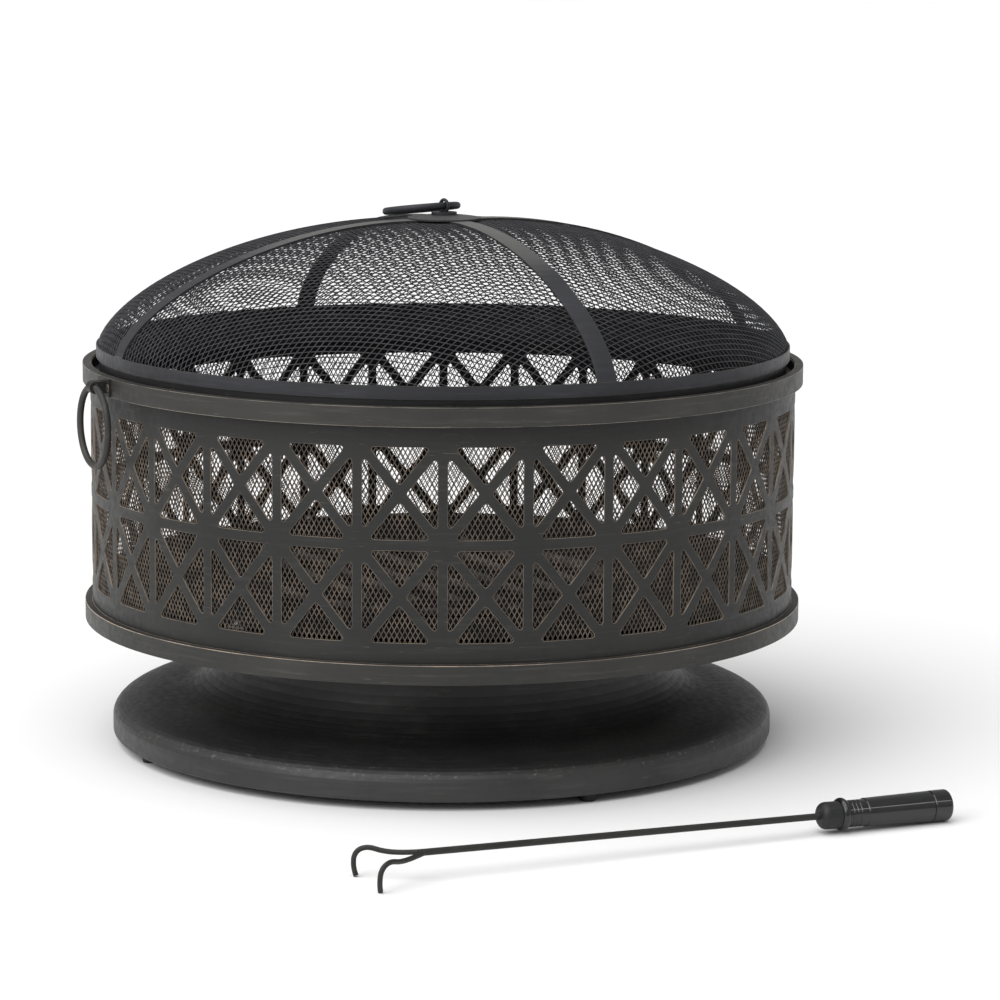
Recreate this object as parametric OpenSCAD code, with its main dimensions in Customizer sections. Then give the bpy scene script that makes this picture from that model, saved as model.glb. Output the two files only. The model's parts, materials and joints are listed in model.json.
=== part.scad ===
// Round steel fire pit: a pierced drum on a dished pedestal, with a fire bowl, a log grate,
// a domed spark screen, two ring handles and a poker that lies on the floor in front.
// Millimetres, +Z up. The origin is on the floor under the centre of the drum.
// The ring handles are on the X axis, and the screen's ribs and the feet are on both axes.

/* [Drum] */
// Outside diameter over the rim and bottom bands
rim_d = 762; // [740:1:790]
// Height from the underside of the bottom band to the top of the rim
drum_h = 271.9; // [268:0.1:300]
// Thickness of the drum's steel sheet
sheet_t = 1.5; // [1:0.1:2]
// Height of the rim band and of the bottom band
band_h = 19.2; // [16:0.1:24]
// How far the bands stand out from the wall
band_out = 7.8; // [6:0.1:9]

/* [Pierced pattern] */
// Number of crossed cells around the drum
cells = 28; // [24:4:36]
// Width of the upright and the crossed bars
bar_w = 9.8; // [7:0.1:12]
// Width of the bar between the two rows of cells
mid_bar_w = 10.5; // [7:0.1:16]
// Plain wall below and above the pattern
plain_h = 39.8; // [36:0.1:46]
// Radius in the corners of the cut-outs
corner_r = 2.5; // [1:0.1:4]

/* [Pedestal] */
// Height of the feet under the pedestal
foot_h = 9; // [6:0.5:14]
// Diameter of each foot
foot_d = 17; // [14:0.5:24]
// Height of the pedestal, without its feet
base_h = 124.3; // [110:0.1:140]
// Outside diameter of the pedestal's skirt
skirt_d = 705.8; // [680:0.1:720]
// Diameter of the pedestal's neck under the drum
neck_d = 480; // [460:1:500]

/* [Fire bowl and grate] */
// Depth of the dished part of the bowl
bowl_depth = 57; // [45:1:60]
// Height of the bowl's rim over the underside of the drum
bowl_rim_h = 43.7; // [43.7:0.1:50]
// Diameter of the grate, to the middle of its ring
grate_d = 360; // [300:5:400]
// Diameter of the grate's rods
grate_rod = 10; // [8:0.5:12]
// Number of bars across the grate
grate_bars_n = 8; // [5:1:10]
// Height of the grate's legs, from the bowl to the ring
grate_leg_h = 25; // [20:1:40]

/* [Spark screen] */
// Outside diameter of the screen's base ring
screen_d = 733.4; // [730:0.1:735]
// Height of the base ring
screen_ring_h = 13; // [12:0.1:18]
// Height of the mesh dome over the base ring's underside
dome_h = 139.1; // [120:0.1:150]
// Width of the four ribs
rib_w = 21; // [16:0.5:24]
// Thickness of the four ribs
rib_t = 2; // [1.5:0.1:3]
// Diameter of the crown plate
crown_d = 77; // [70:1:90]

/* [Rings] */
// Outside diameter of the side handle rings
handle_d = 88; // [80:1:100]
// Rod diameter of the side handle rings
handle_rod = 7; // [6:0.1:7.2]
// Outside diameter of the lifting ring
lift_d = 83.5; // [76:0.5:90]
// Rod diameter of the lifting ring
lift_rod = 7.5; // [6:0.1:7.6]

/* [Poker] */
// Length from the butt of the grip to the fork
poker_shaft_l = 560; // [500:1:600]
// Shaft diameter
poker_shaft_d = 6.5; // [5:0.1:7]
// Diameter of the two prongs
prong_d = 5; // [4:0.1:6]

/* [Hidden] */
$fn = 96;
gap = 0.3;                // clearance between pieces that move apart
fit = 0.1;                // clearance around fasteners and between touching sheets

rim_r = rim_d / 2;
wall_r = rim_r - band_out;
drum_z = foot_h + base_h;
rim_z = drum_z + drum_h;
cell_h = (drum_h - 2 * plain_h - mid_bar_w) / 2;
cell_pitch = 360 / cells;

skirt_r = skirt_d / 2;
neck_r = neck_d / 2;
foot_r = 336;             // circle that the feet stand on
hem_w = 27;               // width of the pedestal's turned-in hem
flange_bolt_r = neck_r - 11;
floor_hole_r = neck_r - 24;

bowl_z = drum_z + bowl_rim_h;
bowl_r = 352;             // edge of the dished part
bowl_rim_r = 366;
bowl_t = 1.5;
bowl_sphere_r = (bowl_r * bowl_r + bowl_depth * bowl_depth) / (2 * bowl_depth);
standoff_n = 6;
standoff_turn = 360 / standoff_n / 2;
standoff_r = 354;
standoff_w = 26;
bowl_screw_r = 361;
grate_r = grate_d / 2;
leg_z = bowl_inside_z(grate_r + grate_rod / 2) + gap;
grate_z = leg_z + grate_leg_h + grate_rod / 2;

ledge_r = 362;            // inner face of the screen's ledge
ledge_drop = 14;          // from the rim's top down to the ledge's web
screen_z = rim_z + 5.8;   // underside of the screen's base ring
screen_r = screen_d / 2;
mesh_t = 1;
dome_steps = 36;

// Dome curve of the screen: radius and height over the base ring's underside, from ring to crown
dome_curve = [
    [screen_r - 0.1, 3.1],
    [screen_r - 0.1, 61.6],
    [188.8, dome_h + 15.7],
    [0, dome_h],
];
crown_r = crown_d / 2;
crown_rise = 3;
crown_t = 1.6;
washer_r = 13.5;
washer_t = 2.8;
stem_r = 4;
eye_rod = 3.6;
eye_hole_r = 4.4;
crown_z = screen_z + bezier(dome_curve, 0.9)[1] + rib_t + fit;
washer_z = crown_z + crown_rise + crown_t;
eye_z = washer_z + washer_t + eye_hole_r + eye_rod / 2 + fit;
inner_plate_z = screen_z + dome_h - 2 * mesh_t - sheet_t;

handle_ring_r = (handle_d - handle_rod) / 2;
lift_ring_r = (lift_d - lift_rod) / 2;
lift_turn = 14;           // the lifting ring lies this far round from the Y axis
lift_slope = 8;           // and slopes down by this much, onto the rear rib
plate_w = 30;
plate_h = 18.6;
plate_t = 2;
barrel_r = 6.3;
barrel_bore_r = 4.3;
handle_z = rim_z - band_h / 2;
barrel_l = 12;
barrel_out = 4.5;         // neck between the handle's plate and its barrel
barrel_x = rim_r + plate_t + barrel_out + barrel_r;
handle_rivet_y = 11.5;
handle_rivet_r = 2.4;

poker_butt = [280.2, -555.7];
poker_dir = 177.45;       // from the butt towards the tips
butt_r = 15.6;
poker_rise = 0.96;        // slope of the shaft, whose prongs hold it off the floor
cap_l = 20;
grip_l = 93.5;
collar_l = 8.5;
ferrule_l = 20;

charcoal = [0.22, 0.215, 0.205];
dark_mesh = [0.13, 0.13, 0.135];
screen_grey = [0.25, 0.25, 0.26];
soot = [0.12, 0.11, 0.10];
zinc = [0.55, 0.55, 0.53];
black = [0.07, 0.07, 0.07];

// ---- Curves and outlines ----

function unit(v) = v / norm(v);
function reversed(p) = [for (i = [len(p) - 1 : -1 : 0]) p[i]];
function bezier(p, t) = len(p) == 1 ? p[0]
    : bezier([for (i = [0 : len(p) - 2]) p[i] * (1 - t) + p[i + 1] * t], t);
function bezier_path(p, n) = [for (i = [0 : n]) bezier(p, i / n)];

// Arc about c, the short way from one point to another
function arc(c, from, to, n) =
    let (
        start = atan2(from[1] - c[1], from[0] - c[0]),
        end = atan2(to[1] - c[1], to[0] - c[0]),
        turn = (end - start + 540) % 360 - 180,
        r = norm(from - c)
    )
    [for (i = [0 : n]) c + r * [cos(start + turn * i / n), sin(start + turn * i / n)]];

// Outline with each corner replaced by an arc of radius r
function rounded(p, r, n = 2) =
    [for (i = [0 : len(p) - 1])
        let (
            a = unit(p[(i + len(p) - 1) % len(p)] - p[i]),
            b = unit(p[(i + 1) % len(p)] - p[i]),
            half = acos(a * b) / 2,
            c = p[i] + unit(a + b) * r / sin(half)
        )
        each arc(c, p[i] + a * r / tan(half), p[i] + b * r / tan(half), n)];

// Sheet metal: the path with a second skin at distance d to its right
function tangent(p, i) = unit(p[min(i + 1, len(p) - 1)] - p[max(i - 1, 0)]);
function shifted(p, d) = [for (i = [0 : len(p) - 1]) p[i] + d * [tangent(p, i)[1], -tangent(p, i)[0]]];
function sheet(p, d) = concat(p, reversed(shifted(p, d)));

// ---- Shared shapes ----

module tube(r_out, r_in, h) {
    difference() {
        cylinder(r = r_out, h = h);
        translate([0, 0, -1]) cylinder(r = r_in, h = h + 2);
    }
}

module torus(r, rod_r) {
    rotate_extrude() translate([r, 0]) circle(r = rod_r, $fn = 32);
}

module around(n, r, first = 0) {
    for (i = [0 : n - 1]) rotate([0, 0, first + i * 360 / n]) translate([r, 0, 0]) children();
}

module hexagon(across_flats, h) {
    cylinder(d = across_flats / cos(30), h = h, $fn = 6);
}

// Hex bolt with its head up and the underside of the head at z = 0
module hex_bolt(r, flats, head_h, l) {
    hexagon(flats, head_h);
    translate([0, 0, -l]) cylinder(r = r, h = l + 1, $fn = 32);
}

module nut(r, flats, h) {
    difference() {
        hexagon(flats, h);
        translate([0, 0, -1]) cylinder(r = r, h = h + 2, $fn = 32);
    }
}

// ---- Pedestal and feet ----

module feet() {
    color(black) around(4, foot_r) difference() {
        union() {
            cylinder(r1 = foot_d / 2 - 1, r2 = foot_d / 2, h = 2, $fn = 48);
            translate([0, 0, 2]) cylinder(r = foot_d / 2, h = foot_h - 2, $fn = 48);
        }
        translate([0, 0, -1]) cylinder(r = 5.2, h = 4, $fn = 48);
        cylinder(r = 3 + fit, h = foot_h + 1, $fn = 32);
    }
}

module foot_screws() {
    head_z = 3;
    color(zinc) around(4, foot_r) {
        translate([0, 0, head_z - 2.2]) cylinder(r = 4.8, h = 2.2, $fn = 32);
        translate([0, 0, head_z - 1]) cylinder(r = 3, h = foot_h + 9, $fn = 32);
    }
}

module foot_nuts() {
    color(zinc) around(4, foot_r) translate([0, 0, foot_h + sheet_t]) nut(3 + fit, 10, 5);
}

// Outer skin of the pedestal, from the inside of its hem round the skirt to the neck's flange
function pedestal_path() =
    let (
        edge_r = 2.5,
        skirt_top = foot_h + 16.2,
        shelf_z = foot_h + 43.5,
        shelf_r = neck_r + 50,
        flange_z = drum_z - fit,
        neck_edge = [neck_r - edge_r, flange_z - edge_r]
    )
    concat(
        [[skirt_r - hem_w, foot_h]],
        arc([skirt_r - edge_r, foot_h + edge_r], [skirt_r - edge_r, foot_h], [skirt_r, foot_h + edge_r], 4),
        bezier_path([[skirt_r, skirt_top], [skirt_r, foot_h + 40], [shelf_r, shelf_z]], 12),
        [for (i = [1 : 10]) bezier([
            [shelf_r, shelf_z], [neck_r + 20, shelf_z + 1.8], [neck_r + 4, shelf_z + 18], [neck_r, shelf_z + 62]
        ], i / 10)],
        arc(neck_edge, [neck_r, flange_z - edge_r], [neck_r - edge_r, flange_z], 4),
        [[neck_r - 20, flange_z]]
    );

module base_pedestal() {
    color(charcoal) difference() {
        rotate_extrude() polygon(sheet(pedestal_path(), -sheet_t));
        around(4, foot_r) translate([0, 0, foot_h - 1]) cylinder(r = 3 + fit, h = 4, $fn = 32);
        around(6, flange_bolt_r) translate([0, 0, drum_z - 5]) cylinder(r = 4 + fit, h = 8, $fn = 32);
    }
}

module pedestal_bolts() {
    color(zinc) around(6, flange_bolt_r) translate([0, 0, drum_z + sheet_t]) hex_bolt(4, 13, 5, 16);
}

module pedestal_nuts() {
    color(zinc) around(6, flange_bolt_r)
        translate([0, 0, drum_z - fit - sheet_t - 6.5 - fit]) nut(4 + fit, 13, 6.5);
}

// ---- Drum ----

module drum_floor() {
    hem_h = 12;
    color(charcoal) difference() {
        union() {
            translate([0, 0, drum_z]) tube(wall_r - sheet_t - fit, floor_hole_r, sheet_t);
            translate([0, 0, drum_z]) tube(wall_r - sheet_t - fit, wall_r - 2 * sheet_t - fit, hem_h);
        }
        around(6, flange_bolt_r) translate([0, 0, drum_z - 1]) cylinder(r = 4 + fit, h = 4, $fn = 32);
        around(standoff_n, standoff_r + 9, standoff_turn)
            translate([0, 0, drum_z - 1]) cylinder(r = 2.5 + fit, h = 4, $fn = 32);
    }
}

// Channel-shaped band round the outside of the wall
module band(z) {
    translate([0, 0, z]) rotate_extrude() difference() {
        translate([wall_r + fit, 0]) square([band_out - fit, band_h]);
        translate([wall_r, sheet_t]) square([band_out - sheet_t, band_h - 2 * sheet_t]);
    }
}

module bottom_band() {
    color(charcoal) band(drum_z);
}

module rim_band() {
    lip = 0.8;            // how far the rim's flange reaches in over the wall's top edge
    color(charcoal) difference() {
        union() {
            band(rim_z - band_h);
            translate([0, 0, rim_z - sheet_t]) tube(wall_r + 1, wall_r - lip, sheet_t);
        }
        rivet_holes();
    }
}

// The four triangles between the crossed bars of one cell, seen square on
module cell_cutouts() {
    half_w = wall_r * sin(cell_pitch / 2) - bar_w / 2;
    half_h = cell_h / 2;
    slope = half_h / half_w;
    apex_y = bar_w / 2 * sqrt(1 + slope * slope);
    apex_x = apex_y / slope;
    foot_x = (half_h - apex_y) / slope;
    foot_y = (half_w - apex_x) * slope;
    top = rounded([[0, apex_y], [foot_x, half_h], [-foot_x, half_h]], corner_r);
    side = rounded([[apex_x, 0], [half_w, -foot_y], [half_w, foot_y]], corner_r);
    polygon(top);
    polygon(side);
    mirror([0, 1]) polygon(top);
    mirror([1, 0]) polygon(side);
}

module drum_wall() {
    lower_row = drum_z + plain_h + cell_h / 2;
    color(charcoal) difference() {
        translate([0, 0, drum_z]) tube(wall_r, wall_r - sheet_t, drum_h - sheet_t - fit);
        for (row = [0, 1], i = [0 : cells - 1])
            rotate([0, 0, (i + 0.5) * cell_pitch])
                translate([0, 6 - wall_r, lower_row + row * (cell_h + mid_bar_w)])
                    rotate([90, 0, 0]) linear_extrude(height = 8) cell_cutouts();
        rivet_holes();
    }
}

module wall_mesh() {
    margin = 17;          // how far the mesh runs past the pattern
    inner = wall_r - sheet_t - fit;
    color(dark_mesh) translate([0, 0, drum_z + plain_h - margin])
        tube(inner, inner - mesh_t, drum_h - 2 * plain_h + 2 * margin - 3);
}

module screen_ledge() {
    outer = wall_r - sheet_t - fit;
    web_z = rim_z - ledge_drop;
    color(charcoal) {
        translate([0, 0, web_z]) tube(outer, ledge_r, sheet_t);
        translate([0, 0, web_z - 9]) tube(outer, outer - sheet_t, 9 + sheet_t);
        translate([0, 0, web_z]) tube(ledge_r + sheet_t, ledge_r, screen_z - gap - web_z);
    }
}

// ---- Fire bowl ----

module bowl_holes(r, z) {
    around(standoff_n, bowl_screw_r, standoff_turn) translate([0, 0, z]) cylinder(r = r, h = 8, $fn = 32);
}

module fire_bowl() {
    color(soot) difference() {
        union() {
            intersection() {
                translate([0, 0, bowl_z - bowl_depth + bowl_sphere_r]) difference() {
                    sphere(r = bowl_sphere_r + bowl_t, $fn = 200);
                    sphere(r = bowl_sphere_r, $fn = 200);
                }
                translate([0, 0, bowl_z - bowl_depth - 5]) cylinder(r = bowl_r, h = bowl_depth + 5);
            }
            translate([0, 0, bowl_z - bowl_t]) tube(bowl_rim_r, bowl_r - 2, bowl_t);
        }
        bowl_holes(3 + fit, bowl_z - 4);
    }
}

module bowl_standoffs() {
    top = bowl_z - bowl_t - fit;
    foot_z = drum_z + sheet_t + fit;
    tab = 12;
    color(zinc) around(standoff_n, 0, standoff_turn) difference() {
        translate([standoff_r, -standoff_w / 2, foot_z]) difference() {
            cube([tab, standoff_w, top - foot_z]);
            translate([2, -1, 2]) cube([tab, standoff_w + 2, top - foot_z - 4]);
        }
        translate([bowl_screw_r, 0, top - 4]) cylinder(r = 3 + fit, h = 6, $fn = 32);
        translate([standoff_r + 9, 0, foot_z - 1]) cylinder(r = 2.5 + fit, h = 4, $fn = 32);
    }
}

module standoff_rivets() {
    foot_top = drum_z + sheet_t + fit + 2;
    color(zinc) around(standoff_n, standoff_r + 9, standoff_turn) {
        translate([0, 0, foot_top]) cylinder(r1 = 4.4, r2 = 2.8, h = 2, $fn = 32);
        translate([0, 0, drum_z - 1.5]) cylinder(r = 2.5, h = foot_top - drum_z + 2.5, $fn = 32);
        translate([0, 0, drum_z - 1.5]) cylinder(r = 4, h = 1.5, $fn = 32);
    }
}

module bowl_screws() {
    color(zinc) around(standoff_n, bowl_screw_r, standoff_turn) translate([0, 0, bowl_z]) {
        cylinder(r1 = 4.8, r2 = 3.6, h = 3, $fn = 32);
        translate([0, 0, -14]) cylinder(r = 3, h = 15, $fn = 32);
    }
}

module bowl_nuts() {
    color(zinc) around(standoff_n, bowl_screw_r, standoff_turn)
        translate([0, 0, bowl_z - bowl_t - 2 - 2 * fit - 5]) rotate([0, 0, 30]) nut(3 + fit, 9, 5);
}

// ---- Side handles ----

module rivet_holes() {
    for (side = [-1, 1], y = [-handle_rivet_y, handle_rivet_y])
        translate([side * (wall_r - 3), y, handle_z]) rotate([0, side * 90, 0])
            cylinder(r = handle_rivet_r + fit, h = band_out + 6, $fn = 32);
}

// Bracket of the handle on +X: a riveted plate with a barrel that holds the ring
module handle_bracket() {
    difference() {
        union() {
            translate([rim_r + fit, -plate_w / 2, handle_z - plate_h / 2])
                cube([plate_t, plate_w, plate_h]);
            translate([rim_r + fit, -barrel_l / 2, handle_z - barrel_r])
                cube([barrel_x - rim_r - fit, barrel_l, 2 * barrel_r]);
            translate([barrel_x, barrel_l / 2, handle_z]) rotate([90, 0, 0])
                cylinder(r = barrel_r, h = barrel_l, $fn = 64);
        }
        translate([barrel_x, barrel_l / 2 + 1, handle_z]) rotate([90, 0, 0])
            cylinder(r = barrel_bore_r, h = barrel_l + 2, $fn = 64);
        for (y = [-handle_rivet_y, handle_rivet_y])
            translate([rim_r - 1, y, handle_z]) rotate([0, 90, 0])
                cylinder(r = handle_rivet_r + fit, h = plate_t + 4, $fn = 32);
    }
}

module handle_bracket_left() {
    color(charcoal) mirror([1, 0, 0]) handle_bracket();
}

module handle_bracket_right() {
    color(charcoal) handle_bracket();
}

module handle_rivets() {
    plate_face = rim_r + fit + plate_t;
    head_h = 1.2;
    inner = wall_r - sheet_t - 1.2;
    color(charcoal) for (turn = [0, 180], y = [-handle_rivet_y, handle_rivet_y])
        rotate([0, 0, turn]) translate([0, y, handle_z]) rotate([0, 90, 0]) {
            translate([0, 0, inner]) cylinder(r = handle_rivet_r, h = plate_face - inner + 0.5, $fn = 32);
            translate([0, 0, plate_face]) cylinder(r1 = 4, r2 = 2.6, h = head_h, $fn = 32);
        }
}

// Ring of the handle on +X, hanging from the barrel. Its arc is centred in the bore.
module handle_ring() {
    sag = 0.3;
    translate([barrel_x, 0, handle_z + sag - handle_ring_r]) rotate([0, 90, 0])
        torus(handle_ring_r, handle_rod / 2);
}

module handle_ring_left() {
    color(charcoal) mirror([1, 0, 0]) handle_ring();
}

module handle_ring_right() {
    color(charcoal) handle_ring();
}

// ---- Log grate ----

function bowl_inside_z(r) =
    bowl_z - bowl_depth + bowl_sphere_r - sqrt(bowl_sphere_r * bowl_sphere_r - r * r);

module grate_ring() {
    color(soot) translate([0, 0, grate_z]) torus(grate_r, grate_rod / 2);
}

module grate_bars() {
    step = 2 * grate_r / (grate_bars_n + 1);
    color(soot) for (i = [1 : grate_bars_n]) {
        x = -grate_r + i * step;
        half = sqrt(grate_r * grate_r - x * x) + grate_rod / 2;
        translate([x, half, grate_z + grate_rod + fit / 2]) rotate([90, 0, 0])
            cylinder(d = grate_rod, h = 2 * half, $fn = 32);
    }
}

module grate_legs() {
    color(soot) difference() {
        around(4, grate_r, 45) translate([0, 0, leg_z]) cylinder(d = grate_rod, h = grate_z - leg_z, $fn = 32);
        translate([0, 0, grate_z]) torus(grate_r, grate_rod / 2 + fit / 2);
    }
}

// ---- Spark screen ----

module screen_ring() {
    web_in = 352;
    color(screen_grey) {
        translate([0, 0, screen_z]) tube(screen_r, screen_r - sheet_t, screen_ring_h);
        translate([0, 0, screen_z]) tube(screen_r, web_in, sheet_t);
    }
}

function dome_path(n) = [for (p = bezier_path(dome_curve, n)) p + [0, screen_z]];

module screen_mesh() {
    side_r = screen_r - sheet_t - fit;
    skin = [for (p = dome_path(dome_steps)) [min(p[0], side_r), p[1]]];
    color(dark_mesh) difference() {
        rotate_extrude() polygon(concat(shifted(skin, -fit), reversed(shifted(skin, -fit - mesh_t))));
        translate([0, 0, screen_z]) cylinder(r = stem_r + 1, h = dome_h + 20, $fn = 48);
    }
}

module mesh_clamp_ring() {
    outer = screen_r - sheet_t - 2 * fit - mesh_t - 0.8;
    color(screen_grey) translate([0, 0, screen_z + sheet_t + fit])
        tube(outer, outer - sheet_t, screen_ring_h - sheet_t - 2.5);
}

// Tabs under the base ring that drop inside the ledge and keep the screen central
module screen_tabs() {
    tab_r = ledge_r - 1;
    color(screen_grey) around(4, 0, 45) {
        translate([tab_r - 2, -12, screen_z - fit - 14]) cube([2, 24, 14]);
        translate([tab_r - 9, -12, screen_z - fit - 2]) cube([9, 24, 2]);
    }
}

// Rib on +X: a strap that follows the dome from the base ring to under the crown
module rib() {
    inner = rib_w / 2 + 0.6;
    foot = screen_z + screen_ring_h + fit / 2;
    spine = [for (p = dome_path(dome_steps)) if (p[1] > foot && p[0] > inner) p];
    strap = sheet(concat([[dome_curve[0][0], foot]], spine), rib_t);
    rotate([90, 0, 0]) translate([0, 0, -rib_w / 2]) linear_extrude(height = rib_w) polygon(strap);
}

module rib_right() {
    color(screen_grey) rib();
}

module rib_rear() {
    color(screen_grey) rotate([0, 0, 90]) rib();
}

module rib_left() {
    color(screen_grey) rotate([0, 0, 180]) rib();
}

module rib_front() {
    color(screen_grey) rotate([0, 0, 270]) rib();
}

module crown_plate() {
    n = 10;
    cap = [for (i = [0 : n]) let (r = crown_r * (1 - i / n))
        [r, crown_z + crown_rise * (1 - pow(r / crown_r, 2.2))]];
    color(screen_grey) difference() {
        rotate_extrude() polygon(concat(
            [[0, crown_z + crown_rise]], reversed(cap), [for (p = cap) p + [0, crown_t]]));
        translate([0, 0, crown_z - 1]) cylinder(r = stem_r + fit, h = 12, $fn = 48);
    }
}

module inner_plate() {
    color(screen_grey) translate([0, 0, inner_plate_z]) tube(30, stem_r + fit, sheet_t);
}

module crown_washer() {
    color(screen_grey) translate([0, 0, washer_z]) tube(washer_r, stem_r + 2.2, washer_t - fit);
}

module eye_bolt() {
    shoulder_r = stem_r + 2;
    stem_bottom = inner_plate_z - 10;
    color(screen_grey) {
        translate([0, 0, eye_z]) rotate([0, 90, lift_turn]) torus(eye_hole_r + eye_rod / 2, eye_rod / 2);
        translate([0, 0, washer_z + fit]) cylinder(r = shoulder_r, h = washer_t - 0.4, $fn = 48);
        translate([0, 0, stem_bottom]) cylinder(r = stem_r, h = washer_z - stem_bottom + 1, $fn = 48);
    }
}

module eye_nut() {
    color(screen_grey) translate([0, 0, inner_plate_z - fit - 6.5]) nut(stem_r + fit, 13, 6.5);
}

module lift_ring() {
    color(screen_grey) translate([0, 0, eye_z]) rotate([-lift_slope, 0, lift_turn])
        translate([0, lift_ring_r, 0]) torus(lift_ring_r, lift_rod / 2);
}

// ---- Poker ----

// Poker frame: X runs along the shaft from the butt to the fork, and Z is about up
module place_poker() {
    translate([poker_butt[0], poker_butt[1], butt_r / cos(poker_rise)])
        rotate([0, -poker_rise, poker_dir]) children();
}

module turned(outline) {
    rotate([0, 90, 0]) rotate_extrude() polygon([for (p = outline) [p[1], p[0]]]);
}

module poker_cap() {
    color(black) place_poker() turned(concat(
        [[0, 0]], arc([3, butt_r - 3], [0, butt_r - 3], [3, butt_r], 4),
        [[cap_l - 1, butt_r - 0.2], [cap_l - fit, butt_r - 1.2], [cap_l - fit, 0]]));
}

module poker_grip() {
    rings = 3;
    ring_pitch = 4.3;
    land_l = 7.2;
    neck_x = cap_l + grip_l - rings * ring_pitch;
    step_x = neck_x - land_l;
    color(black) place_poker() difference() {
        turned(concat(
            [[cap_l, 0], [cap_l, butt_r - 1.2], [cap_l + 1, butt_r - 0.3], [step_x - 0.8, 14], [step_x, 13.2]],
            [for (i = [0 : rings - 1]) let (x = neck_x + i * ring_pitch)
                each [[x, 13.1], [x + 0.7, 12.4], [x + 1.4, 12.4], [x + 2.1, 13.1]]],
            [[cap_l + grip_l - fit, 13.1], [cap_l + grip_l - fit, 0]]));
        turned([[cap_l - 1, 0], [cap_l - 1, poker_shaft_d / 2 + fit],
            [cap_l + grip_l + 1, poker_shaft_d / 2 + fit], [cap_l + grip_l + 1, 0]]);
    }
}

module poker_collar() {
    x = cap_l + grip_l;
    bead = collar_l / 2 - fit;
    bead_r = 16.2;
    color(black) place_poker() difference() {
        union() {
            turned([[x, 0], [x, 13], [x + collar_l - fit, 13], [x + collar_l - fit, 0]]);
            translate([x + collar_l / 2, 0, 0]) rotate([0, 90, 0]) torus(bead_r - bead, bead);
        }
        translate([x - 1, 0, 0]) rotate([0, 90, 0])
            cylinder(r = poker_shaft_d / 2 + fit, h = collar_l + 2, $fn = 48);
    }
}

module poker_ferrule() {
    x = cap_l + grip_l + collar_l;
    nose_r = 7;
    body_r = 13.3;
    end_x = x + ferrule_l;
    color(black) place_poker() difference() {
        turned(concat(
            [[x, 0], [x, body_r]],
            arc([end_x - nose_r, body_r - nose_r], [end_x - nose_r, body_r], [end_x, body_r - nose_r], 6),
            [[end_x, 0]]));
        translate([x - 1, 0, 0]) rotate([0, 90, 0])
            cylinder(r = poker_shaft_d / 2 + fit, h = ferrule_l + 2, $fn = 48);
    }
}

module poker_shaft() {
    color(charcoal) place_poker() translate([cap_l + fit, 0, 0]) rotate([0, 90, 0])
        cylinder(d = poker_shaft_d, h = poker_shaft_l - cap_l - fit, $fn = 48);
}

// Tube along a path in space. The reference vector is never parallel to the path.
function ring_at(path, i, r, sides, ref) =
    let (
        t = tangent(path, i),
        n = unit(cross(t, ref)),
        b = cross(t, n)
    )
    [for (k = [0 : sides - 1]) path[i] + r * (cos(k * 360 / sides) * n + sin(k * 360 / sides) * b)];

module rod_along(path, r, ref, sides = 14) {
    rings = [for (i = [0 : len(path) - 1]) each ring_at(path, i, r, sides, ref)];
    last = (len(path) - 1) * sides;
    skin = [for (i = [0 : len(path) - 2], k = [0 : sides - 1])
        let (a = i * sides + k, b = i * sides + (k + 1) % sides) [b, a, a + sides, b + sides]];
    ends = [[for (k = [0 : sides - 1]) k], [for (k = [sides - 1 : -1 : 0]) last + k]];
    polyhedron(points = rings, faces = concat(skin, ends));
}

// One prong: out from the fork, level, over a crest and down in a hook to the floor
function prong_path(side) =
    let (
        h = poker_shaft_l * sin(poker_rise),
        spread = [[0, 3, 0], [12, 9, -1.4], [26, 17.5, -3], [37, 24.8, 0.6]],
        crest = [[37, 24.8, 0.6], [44.5, 29.6, 3.1], [53, 32.6, 0.4], [54.5, 32.6, -9]],
        hook = [[54.5, 32.6, -9], [55, 32.4, -15], [54.6, 31.6, -19], [53, 29.8, gap - butt_r - h]]
    )
    [for (p = concat(bezier_path(spread, 8), [for (i = [1 : 12]) bezier(crest, i / 12)],
        [for (i = [1 : 6]) bezier(hook, i / 6)])) [poker_shaft_l - 4 + p[0], side * p[1], p[2]]];

module poker_fork() {
    across = [-0.57, 0.82, 0];
    color(charcoal) place_poker() {
        rod_along(prong_path(1), prong_d / 2, across);
        mirror([0, 1, 0]) rod_along(prong_path(1), prong_d / 2, across);
    }
}

feet();
foot_screws();
foot_nuts();
base_pedestal();
pedestal_bolts();
pedestal_nuts();
drum_floor();
bottom_band();
drum_wall();
wall_mesh();
rim_band();
screen_ledge();
fire_bowl();
bowl_standoffs();
standoff_rivets();
bowl_screws();
bowl_nuts();
handle_bracket_left();
handle_bracket_right();
handle_rivets();
handle_ring_left();
handle_ring_right();
grate_ring();
grate_bars();
grate_legs();
screen_ring();
screen_mesh();
mesh_clamp_ring();
screen_tabs();
rib_front();
rib_rear();
rib_left();
rib_right();
crown_plate();
inner_plate();
crown_washer();
eye_bolt();
eye_nut();
lift_ring();
poker_shaft();
poker_fork();
poker_ferrule();
poker_collar();
poker_grip();
poker_cap();
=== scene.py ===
"""Looks for the round steel fire pit: mesh of its screen and wall, finishes, light and camera."""

import json
import math

import bpy
import numpy as np
from mathutils import Euler, Matrix, Vector


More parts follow.
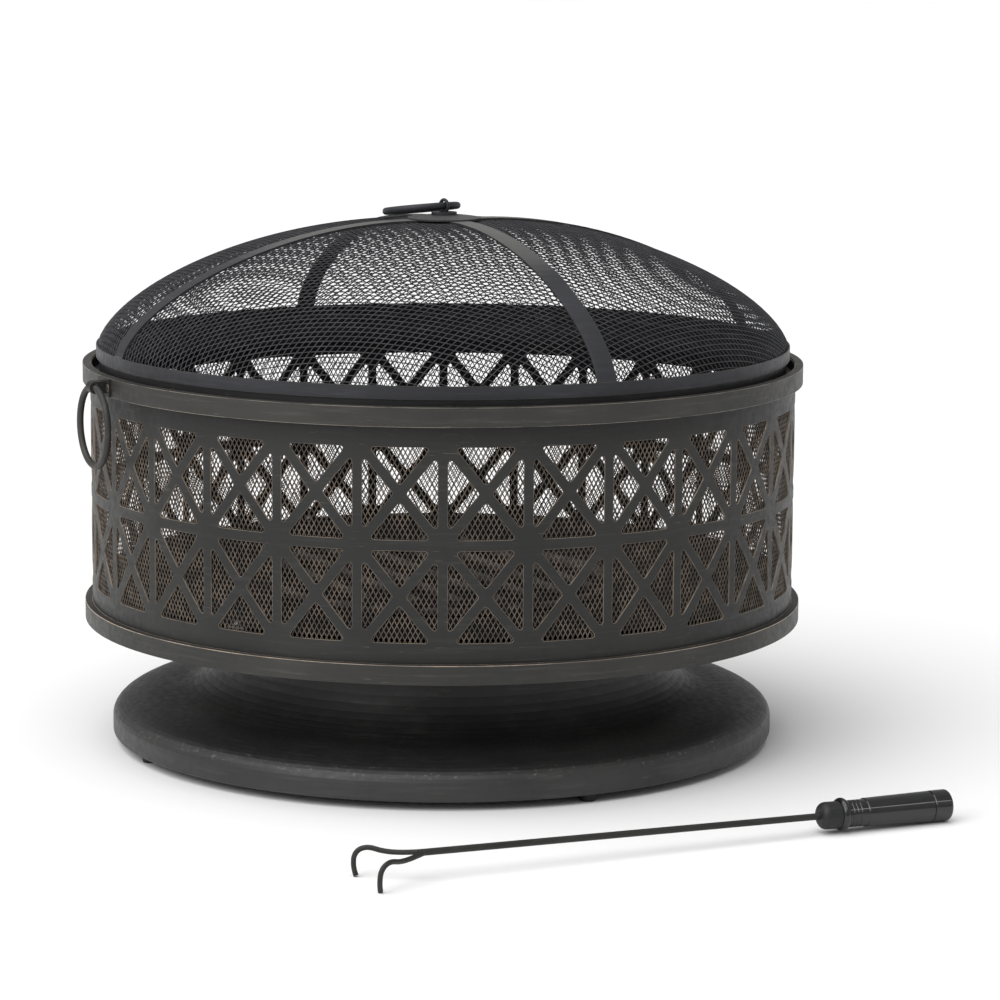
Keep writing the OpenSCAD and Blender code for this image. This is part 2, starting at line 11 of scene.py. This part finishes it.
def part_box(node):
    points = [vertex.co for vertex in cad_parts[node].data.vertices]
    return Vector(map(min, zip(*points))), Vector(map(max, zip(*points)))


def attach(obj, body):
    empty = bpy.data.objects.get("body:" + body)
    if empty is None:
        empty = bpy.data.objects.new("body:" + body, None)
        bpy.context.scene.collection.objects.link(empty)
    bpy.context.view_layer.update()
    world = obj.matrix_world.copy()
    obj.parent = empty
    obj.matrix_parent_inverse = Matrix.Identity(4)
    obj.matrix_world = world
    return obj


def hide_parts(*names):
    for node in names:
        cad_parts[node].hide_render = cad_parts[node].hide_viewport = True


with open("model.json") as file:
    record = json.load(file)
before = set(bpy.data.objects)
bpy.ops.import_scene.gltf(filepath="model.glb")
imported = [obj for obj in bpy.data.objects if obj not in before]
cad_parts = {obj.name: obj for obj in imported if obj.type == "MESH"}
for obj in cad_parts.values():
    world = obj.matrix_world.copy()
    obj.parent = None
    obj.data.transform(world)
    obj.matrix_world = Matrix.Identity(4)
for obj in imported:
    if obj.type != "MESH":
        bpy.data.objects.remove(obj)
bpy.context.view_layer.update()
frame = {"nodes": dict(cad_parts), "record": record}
MM = 0.001

# Camera: place in metres, angles in degrees, lens and sensor in mm.
CAMERA_PLACE = (-1.6438, -3.4135, 0.8809)
CAMERA_HEADING, CAMERA_PITCH, CAMERA_ROLL = 26.636, 9.408, 0.384
CAMERA_LENS, CAMERA_SENSOR = 129.3, 36

# Dome: the curve between its mesh and its ribs, as Bezier points from the screen's ring to the crown, each a
# radius and a height over the ring's underside. The middle of the mesh's skin lies DOME_SINK below the curve,
# and DOME_INSET inside the CAD mesh's outer radius.
DOME_CURVE = (0.3665, 0.0031), (0.3665, 0.0616), (0.1888, 0.1548), (0.0, 0.1391)
DOME_STEPS = 200
DOME_INSET, DOME_SINK = 0.5 * MM, 0.6 * MM
# Its diamonds' length, width and turn about the crown, its strands' width and depth, and about the distance
# between the points along a strand.
DOME_LONG, DOME_SHORT = 12.5 * MM, 7.8 * MM
DOME_LEAN = math.radians(-9)
DOME_STRAND, DOME_SHEET = 0.85 * MM, 0.75 * MM
DOME_STEP = 12 * MM

# Liner: the number of diamonds round the wall and about the height of one, the distance from the CAD mesh's
# outer radius to the middle of its skin, and its strands' width and depth.
LINER_COLUMNS = 448
LINER_ROW = 9.6 * MM
LINER_INSET = 0.5 * MM
LINER_STRAND, LINER_SHEET = 0.95 * MM, 0.6 * MM

# How far each family of strands lies off the middle of the skin, one on either side.
CROSSING = 0.15 * MM

# Floor: radius in metres, and corners.
FLOOR_RADIUS, FLOOR_SIDES = 30, 64


# ---- Camera ----

def make_camera():
    data = bpy.data.cameras.new("camera")
    data.lens = CAMERA_LENS
    data.sensor_width = CAMERA_SENSOR
    data.clip_end = 100
    camera = bpy.data.objects.new("camera", data)
    bpy.context.scene.collection.objects.link(camera)
    heading = Euler((0, 0, -math.radians(CAMERA_HEADING))).to_matrix()
    pitch = Euler((math.pi / 2 - math.radians(CAMERA_PITCH), 0, 0)).to_matrix()
    roll = Euler((0, 0, math.radians(CAMERA_ROLL))).to_matrix()
    camera.matrix_world = Matrix.Translation(CAMERA_PLACE) @ (heading @ pitch @ roll).to_4x4()
    bpy.context.scene.camera = camera


# ---- Material nodes ----

def rgba(color):
    return (*color, 1.0)


class Nodes:
    """A material's tree, with short calls for the nodes that these finishes use."""

    def __init__(self, name):
        self.material = bpy.data.materials.new(name)
        self.material.use_nodes = True
        self.tree = self.material.node_tree
        self.shader = self.tree.nodes["Principled BSDF"]

    def fill(self, socket, value):
        """Links the socket to another node's output, or sets its value."""
        if isinstance(value, bpy.types.NodeSocket):
            self.tree.links.new(value, socket)
        else:
            socket.default_value = rgba(value) if socket.type == "RGBA" else value

    def add(self, kind, inputs=None, **props):
        node = self.tree.nodes.new(kind)
        for key, value in props.items():
            setattr(node, key, value)
        for key, value in (inputs or {}).items():
            self.fill(node.inputs[key], value)
        return node

    def set(self, key, value):
        self.fill(self.shader.inputs[key], value)

    def math(self, operation, a, b=0.0):
        return self.add("ShaderNodeMath", {0: a, 1: b}, operation=operation).outputs[0]

    def vector(self, operation, a, b, output="Vector"):
        return self.add("ShaderNodeVectorMath", {0: a, 1: b}, operation=operation).outputs[output]

    def position(self, scale=(1, 1, 1)):
        return self.vector("MULTIPLY", self.add("ShaderNodeTexCoord").outputs["Object"], scale)

    def normal(self):
        return self.add("ShaderNodeTexCoord").outputs["Normal"]

    def rise(self, vector):
        """The vector's part along the Z axis."""
        return self.add("ShaderNodeSeparateXYZ", {0: vector}).outputs[2]

    def noise(self, vector, scale, detail=3.0, rough=0.5):
        inputs = {"Vector": vector, "Scale": scale, "Detail": detail, "Roughness": rough}
        return self.add("ShaderNodeTexNoise", inputs).outputs["Fac"]

    def span(self, value, low, high, to_low=0.0, to_high=1.0):
        inputs = {"Value": value, "From Min": low, "From Max": high, "To Min": to_low, "To Max": to_high}
        return self.add("ShaderNodeMapRange", inputs, interpolation_type="SMOOTHSTEP").outputs["Result"]

    def mix(self, factor, a, b):
        """A mix of two colours; 0, 6 and 7 are the node's sockets for the factor and for the colours."""
        return self.add("ShaderNodeMix", {0: factor, 6: a, 7: b}, data_type="RGBA").outputs[2]

    def edges(self, radius):
        """From 0 on flats to 1 along the edges of the shape."""
        bent = self.add("ShaderNodeBevel", {"Radius": radius}, samples=8).outputs[0]
        flat = self.add("ShaderNodeNewGeometry").outputs["Normal"]
        same = self.vector("DOT_PRODUCT", bent, flat, "Value")
        return self.span(self.math("SUBTRACT", 1.0, same), 0.02, 0.22)

    def bump(self, height, strength, distance):
        inputs = {"Height": height, "Strength": strength, "Distance": distance}
        self.set("Normal", self.add("ShaderNodeBump", inputs).outputs[0])


def away_from_axis(n):
    """The direction from the Z axis to the point."""
    return n.add("ShaderNodeVectorMath", {0: n.position((1, 1, 0))}, operation="NORMALIZE").outputs[0]


def outward(n):
    """1 on faces that look away from the Z axis, -1 on faces that look at it, 0 on cut edges."""
    return n.vector("DOT_PRODUCT", away_from_axis(n), n.normal(), "Value")


def ringed(n, turns=5, reach=260):
    """Coordinates for turned streaks, which change slowly round the Z axis and fast along and from it."""
    spin = {0: away_from_axis(n), "Scale": turns}
    spun = n.add("ShaderNodeVectorMath", spin, operation="SCALE").outputs[0]
    radius = n.add("ShaderNodeVectorMath", {0: n.position((1, 1, 0))}, operation="LENGTH").outputs["Value"]
    run = n.math("MULTIPLY", n.math("ADD", radius, n.rise(n.position())), reach)
    return n.vector("ADD", spun, n.add("ShaderNodeCombineXYZ", {2: run}).outputs[0])


# ---- Finishes ----

def soot_and_shade_inside(n, color, inside_tone):
    """The colour, but a darker tone on the faces that look at the Z axis: soot from the fire and painted
    shade inside the drum.
    """
    return n.mix(n.span(outward(n), -0.6, -0.2, 1.0, 0.0), color, inside_tone)


def painted_rim_shade(n, color, height, top):
    """The colour, darkened by painted shade below the sheet's top edge, where the rim band's shadow falls."""
    return n.mix(n.span(height, top - 35 * MM, top - 5 * MM, 0.0, 0.6), color, (0.009, 0.009, 0.009))


def painted_sheen_on_top(n, color, clouds, amount):
    """The colour, with a painted sheen: a light tone on the faces that look up, where light from above
    catches them.
    """
    level = n.span(n.rise(n.normal()), 0.92, 0.995)
    sheen_mask = n.math("MULTIPLY", level, n.span(clouds, 0.25, 0.6, 0.7, 1.0))
    return n.mix(n.math("MULTIPLY", sheen_mask, amount), color, (0.15, 0.148, 0.14))


def chips_and_painted_shade_along(n, color, height, bend):
    """The colour, with light chips along a bend at a height and a line of painted shade above it, under the
    drum.
    """
    away = n.math("ABSOLUTE", n.math("SUBTRACT", height, bend))
    specks = n.span(n.noise(n.position((1, 1, 2.2)), 170.0), 0.58, 0.72, 0.0, 0.55)
    chips = n.math("MULTIPLY", n.span(away, 1 * MM, 7 * MM, 1.0, 0.0), specks)
    # Painted shade: a dark line just above the bend, where the drum's shadow edge falls.
    shade_foot = n.span(height, bend + 1 * MM, bend + 4 * MM, 0.0, 0.6)
    shade_top = n.span(height, bend + 5 * MM, bend + 17 * MM, 1.0, 0.0)
    color = n.mix(n.math("MULTIPLY", shade_foot, shade_top), color, (0.007, 0.007, 0.007))
    return n.mix(chips, color, (0.14, 0.135, 0.125))


def powder_coat(name, tones, rub=(0.30, 0.23, 0.17), rubbed=0.8, least=0.15, patch=38.0, edge=0.9 * MM,
                scratched=0.5, gloss=0.28, above=None, shaded_top_edge=None, sooty_and_shaded=False, chipped_shaded_bend=None, top_sheen=0.0):
    """Satin powder coat with soft clouding and turned streaks, rubbed light along its edges.

    tones: the coat's dark and light tone.
    rub: the rubbed tone. rubbed, least: its strength in its patches and between them. patch: their scale.
    edge: the rub's width. above: the height that it starts at.
    scratched, gloss: strength of the turned scratches and of the shine.
    hot: height of a pierced sheet's top edge, with painted shade below it. Inside it has soot and painted
    shade, and its cut faces have wear and a painted highlight. sooty: whether the fire side has soot and
    painted shade.
    chipped: height of a bend with chips and painted shade above. dusted: strength of a painted sheen on top.
    """
    n = Nodes(name)
    place = n.position()
    height = n.rise(place)
    base, light = tones
    clouds = n.noise(place, 9.0, 4.0)
    streaks = n.noise(ringed(n), 1.0, 5.0, 0.62)
    scratches = n.span(n.noise(ringed(n, 16, 700), 1.0, 2.0), 0.70, 0.78, 0.0, scratched)
    color = n.mix(n.span(clouds, 0.32, 0.72, 0.0, 0.75), base, light)
    color = n.mix(n.span(streaks, 0.5, 0.85, 0.0, 0.6), color, tuple(2.0 * c for c in light))
    color = n.mix(scratches, color, tuple(0.45 * c for c in rub))
    patches = n.span(n.noise(place, patch, 4.0, 0.65), 0.34, 0.60, least, rubbed)
    worn = n.math("MULTIPLY", n.edges(edge), patches)
    if above:
        worn = n.math("MULTIPLY", worn, n.span(height, above - 2 * MM, above + 2 * MM))
    if shaded_top_edge:
        # Painted shade: the wall darkens towards its top edge, under the rim band.
        color = painted_rim_shade(n, color, height, shaded_top_edge)
        # Cut faces: wear, and a painted highlight where light catches the cut edges.
        cut = n.math("MULTIPLY", n.span(n.math("ABSOLUTE", outward(n)), 0.2, 0.5, 1.0, 0.0), patches)
        worn = n.math("MAXIMUM", worn, n.math("MULTIPLY", cut, 0.9))
    # Soot and painted shade darken the faces that look into the drum.
    if shaded_top_edge or sooty_and_shaded:
        color = soot_and_shade_inside(n, color, (0.005, 0.005, 0.005))
    # Painted sheen: a light tone on the faces that look up.
    if top_sheen:
        color = painted_sheen_on_top(n, color, clouds, top_sheen)
    # Light chips along the bend, with painted shade above them.
    if chipped_shaded_bend:
        color = chips_and_painted_shade_along(n, color, height, chipped_shaded_bend)
    n.set("Base Color", n.mix(worn, color, rub))
    n.set("Metallic", n.math("MULTIPLY", worn, 0.5))
    n.set("Roughness", n.span(n.noise(place, 140.0, 3.0), 0.2, 0.8, 0.39, 0.55))
    n.set("Specular IOR Level", gloss)
    n.bump(n.noise(place, 900.0, 2.0), 0.12, 0.4 * MM)
    return n.material


def strand_paint(name, base, tint, inside=None, gloss=0.3):
    """Heat-resistant paint on mesh strands, clouded with a tint. inside: the tone on the fire side, soot and
    painted shade.
    """
    n = Nodes(name)
    color = n.mix(n.span(n.noise(n.position(), 70.0, 3.0), 0.35, 0.7), base, tint)
    if inside:
        color = soot_and_shade_inside(n, color, inside)
    n.set("Base Color", color)
    n.set("Roughness", n.span(n.noise(n.position(), 300.0), 0.2, 0.8, 0.42, 0.6))
    n.set("Specular IOR Level", gloss)
    n.bump(n.noise(n.position(), 1500.0), 0.15, 0.2 * MM)
    return n.material


def soot(name, base, brown, ash, gloss=0.12):
    """Matt heat-resistant paint with brown heat bloom and a fine dust of ash."""
    n = Nodes(name)
    place = n.position()
    bloom = n.span(n.noise(place, 7.0, 5.0, 0.6), 0.4, 0.75)
    dust = n.span(n.noise(place, 220.0, 4.0, 0.7), 0.55, 0.85, 0.0, 0.35)
    n.set("Base Color", n.mix(dust, n.mix(bloom, base, brown), ash))
    n.set("Roughness", n.span(n.noise(place, 60.0), 0.2, 0.8, 0.62, 0.85))
    n.set("Specular IOR Level", gloss)
    n.bump(n.noise(place, 700.0, 3.0), 0.25, 0.4 * MM)
    return n.material


def zinc(name):
    """Plated steel of the bolts, nuts and standoffs."""
    n = Nodes(name)
    place = n.position()
    n.set("Base Color", n.mix(n.noise(place, 160.0, 3.0), (0.30, 0.30, 0.28), (0.44, 0.43, 0.40)))
    n.set("Metallic", 1.0)
    n.set("Roughness", n.span(n.noise(place, 420.0), 0.2, 0.8, 0.34, 0.5))
    n.bump(n.noise(place, 1400.0), 0.15, 0.2 * MM)
    return n.material


def moulded(name, base, light, rough, gloss=0.35, seam_highlight_facing=None):
    """Dark moulded plastic with a faint grain along the poker, and a painted highlight on its parting line,
    facing seam.
    """
    n = Nodes(name)
    grain = n.noise(n.position((12, 420, 420)), 1.0, 4.0, 0.6)
    color = n.mix(n.span(grain, 0.3, 0.75), base, light)
    if seam_highlight_facing:
        # Painted highlight: a thin bright line on the faces that look one fixed way.
        ahead = n.vector("DOT_PRODUCT", n.normal(), seam_highlight_facing, "Value")
        line = n.math("MULTIPLY", n.span(ahead, 0.9990, 0.9998), n.span(grain, 0.25, 0.6, 0.5, 1.0))
        color = n.mix(line, color, (0.16, 0.16, 0.155))
    n.set("Base Color", color)
    n.set("Roughness", n.span(n.noise(n.position(), 260.0, 3.0), 0.2, 0.8, rough - 0.05, rough + 0.08))
    n.set("Specular IOR Level", gloss)
    n.bump(grain, 0.12, 0.3 * MM)
    return n.material


# ---- Finishes by material slot, and sub-parts with a finish of their own ----

CHARCOAL = (0.026, 0.0255, 0.023), (0.042, 0.041, 0.037)
SCREEN_BLACK = (0.021, 0.0215, 0.0245), (0.034, 0.035, 0.041)
SCREEN_WEAR = {"rubbed": 0.25, "scratched": 0.2}
SLOT_FINISH = {
    "charcoal_paint": powder_coat("charcoal_coat", CHARCOAL),
    "screen_paint": powder_coat("screen_coat", SCREEN_BLACK, **SCREEN_WEAR),
    "mesh_paint": strand_paint("screen_strands", (0.029, 0.029, 0.033), (0.048, 0.048, 0.052)),
    "bowl_enamel": soot(
        "bowl_enamel", (0.004, 0.0036, 0.0032), (0.010, 0.0075, 0.0055), (0.034, 0.031, 0.028)),
    "grate_steel": soot(
        "grate_paint", (0.030, 0.028, 0.026), (0.052, 0.042, 0.034), (0.14, 0.13, 0.12), gloss=0.35),
    "zinc_hardware": zinc("zinc_plate"),
    "poker_steel": powder_coat(
        "poker_coat", ((0.019, 0.019, 0.017), (0.030, 0.029, 0.026)), rubbed=0.2, scratched=0.0),
    # The grip has a painted highlight along its parting line.
    "poker_handle": moulded(
        "grip_gloss", (0.007, 0.007, 0.0075), (0.014, 0.0145, 0.015), rough=0.17, gloss=0.6,
        seam_highlight_facing=(-0.0385, -0.865, 0.5)),
    "poker_nose": moulded("nose_matt", (0.012, 0.012, 0.013), (0.020, 0.0205, 0.022), rough=0.5),
    "foot_plastic": moulded("glide_plastic", (0.010, 0.010, 0.010), (0.018, 0.018, 0.018), rough=0.55),
}
OWN_FINISH = {
    # The pedestal's skirt has chips along its bend and painted shade above it, under the drum.
    "base_pedestal": powder_coat(
        "pedestal_coat", ((0.019, 0.019, 0.019), (0.036, 0.036, 0.035)), rubbed=0.4, scratched=0.45,
        gloss=0.45, chipped_shaded_bend=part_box("base_pedestal")[0].z + 27 * MM),
    # The wall has painted shade under the rim band, soot and painted shade inside, and painted highlights on
    # its cut faces.
    "drum_wall": powder_coat(
        "wall_coat", ((0.018, 0.018, 0.0175), (0.027, 0.0265, 0.025)), rub=(0.40, 0.33, 0.26), least=0.3,
        shaded_top_edge=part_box("rim_band")[0].z),
    # The bottom band's bright rub along its top edge is wear, and a painted highlight on that edge.
    "bottom_band": powder_coat(
        "bottom_band_coat", CHARCOAL, rub=(0.80, 0.64, 0.52), rubbed=1.0, least=0.3, patch=14.0,
        edge=1.8 * MM, scratched=0.2, above=sum(corner.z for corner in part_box("bottom_band")) / 2),
    "rim_band": powder_coat(
        "rim_band_coat", CHARCOAL, rub=(0.40, 0.36, 0.30), rubbed=1.0, least=0.1, patch=22.0, edge=1.3 * MM,
        scratched=0.4),
    "screen_ledge": powder_coat("ledge_coat", ((0.017, 0.017, 0.018), (0.026, 0.026, 0.027)), rubbed=0.15),
    # The crown plate has a faint painted sheen on the faces that look up.
    "crown_plate": powder_coat("crown_plate_coat", SCREEN_BLACK, top_sheen=0.3, **SCREEN_WEAR),
}
# The screen's inner rings and plate have soot and painted shade on the faces that look inward.
for inner in ("screen_ring", "mesh_clamp_ring", "inner_plate"):
    OWN_FINISH[inner] = powder_coat(inner + "_coat", SCREEN_BLACK, sooty_and_shaded=True, **SCREEN_WEAR)
# The ribs have a stronger painted sheen on the faces that look up.
for strap in ("rib_front", "rib_rear", "rib_left", "rib_right"):
    OWN_FINISH[strap] = powder_coat(strap + "_coat", SCREEN_BLACK, top_sheen=0.65, **SCREEN_WEAR)
# The handle brackets take a darker copy of the charcoal coat: painted shade on the same paint.
for side in ("left", "right"):
    OWN_FINISH["handle_bracket_" + side] = powder_coat(
        "bracket_shaded_coat_" + side, ((0.014, 0.014, 0.013), (0.022, 0.022, 0.020)), rubbed=0.15, scratched=0.1)
# The liner's fire side has soot and painted shade.
LINER_PAINT = strand_paint(
    "liner_strands", (0.066, 0.057, 0.049), (0.150, 0.122, 0.097), inside=(0.007, 0.007, 0.007), gloss=0.12)


def paint_cad():
    """Gives each CAD node the finish of its own, or else that of its material slot."""
    for row in frame["record"]["subparts"]:
        node = frame["nodes"][row["node"]]
        node.data.materials.clear()
        node.data.materials.append(OWN_FINISH.get(row["node"], SLOT_FINISH[row["material_slot"]]))


# ---- Expanded mesh ----

def link_mesh(name, points, faces, material, body):
    """A new object of four-cornered faces, which rides on a body."""
    mesh = bpy.data.meshes.new(name)
    mesh.vertices.add(len(points))
    mesh.vertices.foreach_set("co", np.asarray(points, np.float32).ravel())
    mesh.loops.add(faces.size)
    mesh.loops.foreach_set("vertex_index", faces.astype(np.int32).ravel())
    mesh.polygons.add(len(faces))
    mesh.polygons.foreach_set("loop_start", np.arange(0, faces.size, 4, dtype=np.int32))
    mesh.update(calc_edges=True)
    mesh.validate()
    mesh.materials.append(material)
    obj = bpy.data.objects.new(name, mesh)
    bpy.context.scene.collection.objects.link(obj)
    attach(obj, body)
    return obj


def strips(paths, width, depth):
    """Flat strands along paths, each a pair of points and normals. Returns their points and faces."""
    points, faces, count = [], [], 0
    for line, normal in paths:
        along = np.gradient(line, axis=0)
        side = np.cross(along, normal)
        side /= np.linalg.norm(side, axis=1, keepdims=True)
        half = side * width / 2
        up = normal * depth / 2
        ring = np.stack([line + half + up, line - half + up, line - half - up, line + half - up], axis=1)
        points.append(ring.reshape(-1, 3))
        k = np.arange(len(line) - 1)[:, None] * 4 + count
        for i in range(4):
            j = (i + 1) % 4
            faces.append(np.hstack([k + i, k + j, k + 4 + j, k + 4 + i]))
        last = count + (len(line) - 1) * 4
        faces.append(np.array([[count + 3, count + 2, count + 1, count]]))
        faces.append(np.array([[last, last + 1, last + 2, last + 3]]))
        count += 4 * len(line)
    return np.concatenate(points), np.concatenate(faces)


def bezier(control, t):
    """Points at t of the Bezier curve with these control points."""
    points = [np.outer(1 - t, a) + np.outer(t, b) for a, b in zip(control[:-1], control[1:])]
    while len(points) > 1:
        points = [(1 - t)[:, None] * a + t[:, None] * b for a, b in zip(points[:-1], points[1:])]
    return points[0]


def dome_profile():
    """Radius and height along the dome's mid-skin from the crown outwards, and the run from the crown."""
    edge_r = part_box("screen_mesh")[1].x - DOME_INSET
    base_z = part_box("screen_ring")[0].z - DOME_SINK
    curve = bezier(np.array(DOME_CURVE), np.linspace(0, 1, DOME_STEPS))[::-1] + [0, base_z]
    curve[:, 0] = np.minimum(curve[:, 0], edge_r)
    run = np.concatenate([[0], np.cumsum(np.linalg.norm(np.diff(curve, axis=0), axis=1))])
    return curve, run


def dome_mesh():
    """Expanded mesh drawn as a flat blank, where the distance from the centre is the run along the dome."""
    curve, run = dome_profile()
    slope = np.gradient(curve, axis=0)
    slope /= np.linalg.norm(slope, axis=1, keepdims=True)
    total = run[-1]
    cos, sin = math.cos(DOME_LEAN), math.sin(DOME_LEAN)
    turn = np.array([[cos, sin], [-sin, cos]])
    pitch = DOME_LONG * DOME_SHORT / math.hypot(DOME_LONG, DOME_SHORT)
    count = int(total / pitch)
    paths = []
    for family in (-1, 1):
        heading = np.array([DOME_LONG, family * DOME_SHORT])
        heading /= np.linalg.norm(heading)
        across = np.array([-heading[1], heading[0]])
        for k in range(-count, count):
            offset = (k + 0.5) * pitch
            half = math.sqrt(total * total - offset * offset)
            t = np.linspace(-half, half, max(3, int(2 * half / DOME_STEP)))
            flat = (offset * across + t[:, None] * heading) @ turn
            dist = np.linalg.norm(flat, axis=1)
            out = flat / dist[:, None]
            r, z = np.interp(dist, run, curve[:, 0]), np.interp(dist, run, curve[:, 1])
            dr, dz = np.interp(dist, run, slope[:, 0]), np.interp(dist, run, slope[:, 1])
            normal = np.column_stack([-out * dz[:, None], dr])
            paths.append((np.column_stack([out * r[:, None], z]) + normal * family * CROSSING, normal))
    points, faces = strips(paths, DOME_STRAND, DOME_SHEET)
    obj = link_mesh("dome_mesh", points, faces, SLOT_FINISH["mesh_paint"], "screen")
    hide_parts("screen_mesh")


def wall_liner():
    """Expanded mesh bent round inside the wall, with its long diamonds upright."""
    low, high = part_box("wall_mesh")
    radius = high.x - LINER_INSET
    height = high.z - low.z
    rows = round(height / LINER_ROW)
    across = 2 * math.pi / LINER_COLUMNS
    t = np.linspace(0, 1, rows // 2 + 1)
    paths = []
    for family in (-1, 1):
        for k in range(LINER_COLUMNS):
            angle = (k + family * t * rows) * across
            out = np.column_stack([np.cos(angle), np.sin(angle), np.zeros(len(t))])
            line = out * (radius + family * CROSSING)
            line[:, 2] = low.z + t * height
            paths.append((line, out))
    points, faces = strips(paths, LINER_STRAND, LINER_SHEET)
    obj = link_mesh("wall_liner", points, faces, LINER_PAINT, "pit")
    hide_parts("wall_mesh")


# ---- Stage and light ----

def make_floor():
    """A round sheet of pale paper, wider than any view."""
    n = Nodes("floor_paper")
    n.set("Base Color", n.mix(n.noise(n.position(), 3.0, 2.0), (0.86, 0.86, 0.86), (0.88, 0.88, 0.88)))
    n.set("Roughness", 0.9)
    n.set("Specular IOR Level", 0.1)
    angles = np.linspace(0, 2 * math.pi, FLOOR_SIDES + 1)[:-1]
    ring = [(FLOOR_RADIUS * math.cos(a), FLOOR_RADIUS * math.sin(a), 0) for a in angles]
    mesh = bpy.data.meshes.new("floor")
    mesh.from_pydata(ring, [], [list(range(FLOOR_SIDES))])
    mesh.materials.append(n.material)
    floor = bpy.data.objects.new("floor", mesh)
    bpy.context.scene.collection.objects.link(floor)


def make_world(as_light, as_backdrop):
    """White surroundings, dimmer as a light than as a backdrop."""
    world = bpy.data.worlds.new("studio")
    world.use_nodes = True
    tree = world.node_tree
    white = tree.nodes["Background"]
    white.inputs["Color"].default_value = (1, 1, 1, 1)
    seen = tree.nodes.new("ShaderNodeLightPath").outputs["Is Camera Ray"]
    level = tree.nodes.new("ShaderNodeMapRange")
    level.inputs["To Min"].default_value = as_light
    level.inputs["To Max"].default_value = as_backdrop
    tree.links.new(seen, level.inputs["Value"])
    tree.links.new(level.outputs["Result"], white.inputs["Strength"])
    bpy.context.scene.world = world


def add_light(name, kind, power, aim):
    """A light that shines along aim. Returns its object."""
    data = bpy.data.lights.new(name, kind)
    data.energy = power
    light = bpy.data.objects.new(name, data)
    light.rotation_mode = "QUATERNION"
    light.rotation_quaternion = Vector(aim).to_track_quat("-Z", "Y")
    bpy.context.scene.collection.objects.link(light)
    return light


def overhead_light(aim, power, spread):
    add_light("skylight", "SUN", power, aim).data.angle = math.radians(spread)


def soft_light(name, place, size, power):
    """A panel that faces the middle of the pit."""
    middle = Vector((0, 0, 0.3))
    light = add_light(name, "AREA", power, middle - Vector(place))
    light.location = place
    light.data.shape = "RECTANGLE"
    light.data.size, light.data.size_y = size


bpy.context.scene.view_settings.view_transform = "Standard"
make_camera()
paint_cad()
dome_mesh()
wall_liner()
make_floor()
make_world(as_light=0.40, as_backdrop=1.0)
overhead_light(aim=(0.50, 0.12, -1.0), power=2.9, spread=80)
soft_light("key", place=(-3.2, -1.6, 1.6), size=(1.6, 1.6), power=22)
soft_light("fill", place=(2.4, -2.6, 1.2), size=(1.6, 1.2), power=3)
